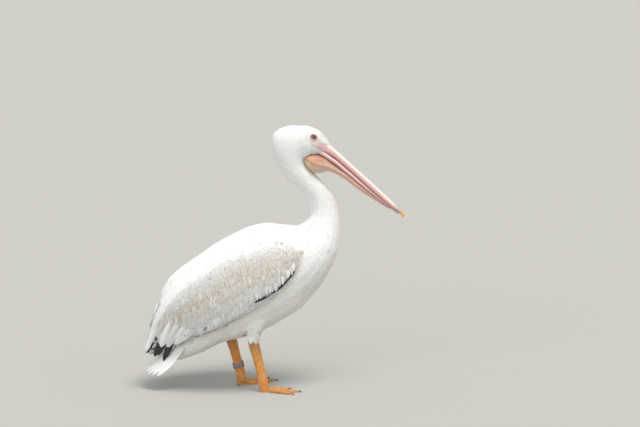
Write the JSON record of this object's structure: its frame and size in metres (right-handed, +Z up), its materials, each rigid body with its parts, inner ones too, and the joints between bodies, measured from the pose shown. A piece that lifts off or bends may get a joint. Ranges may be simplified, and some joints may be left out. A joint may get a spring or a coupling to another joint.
{
  "type": "pelican",
  "caption": "Standing pelican, life size: long hooked bill with a throat pouch, curved neck, folded wings, short tail and webbed feet, one shank ringed by a plain band.",
  "frame": {"origin": "middle of the bounding box at floor level, between the feet", "axes": "+X the way the bird faces, +Y its left side, +Z up"},
  "size_m": [0.8074, 0.2956, 0.827],
  "materials": {
    "plumage": "soft white feathers with tan and grey shading",
    "flight_feather": "dull black feather",
    "bill": "satin pink horn, paler along the ridge",
    "nail": "satin amber horn",
    "pouch": "bare folded skin, matte",
    "leg_skin": "scaly orange skin, matte",
    "claw": "dull brown horn",
    "eye": "wet gloss",
    "band": "dull worn metal"
  },
  "bodies": {
    "root": {"head": "plumage", "neck_upper": "plumage", "neck_lower": "plumage", "trunk": "plumage", "wing_right": "plumage", "wing_left": "plumage", "tail": "plumage", "thigh_right": "plumage", "thigh_left": "plumage", "primaries_right": "flight_feather", "primaries_left": "flight_feather", "bill_upper": "bill", "bill_lower": "bill", "bill_nail": "nail", "pouch": "pouch", "tarsus_right": "leg_skin", "tarsus_left": "leg_skin", "foot_right": "leg_skin", "foot_left": "leg_skin", "eye_right": "eye", "eye_left": "eye", "leg_band": "band", "claw_outer_right": "claw", "claw_middle_right": "claw", "claw_inner_right": "claw", "claw_hind_right": "claw", "claw_outer_left": "claw", "claw_middle_left": "claw", "claw_inner_left": "claw", "claw_hind_left": "claw"}
  },
  "joints": []
}
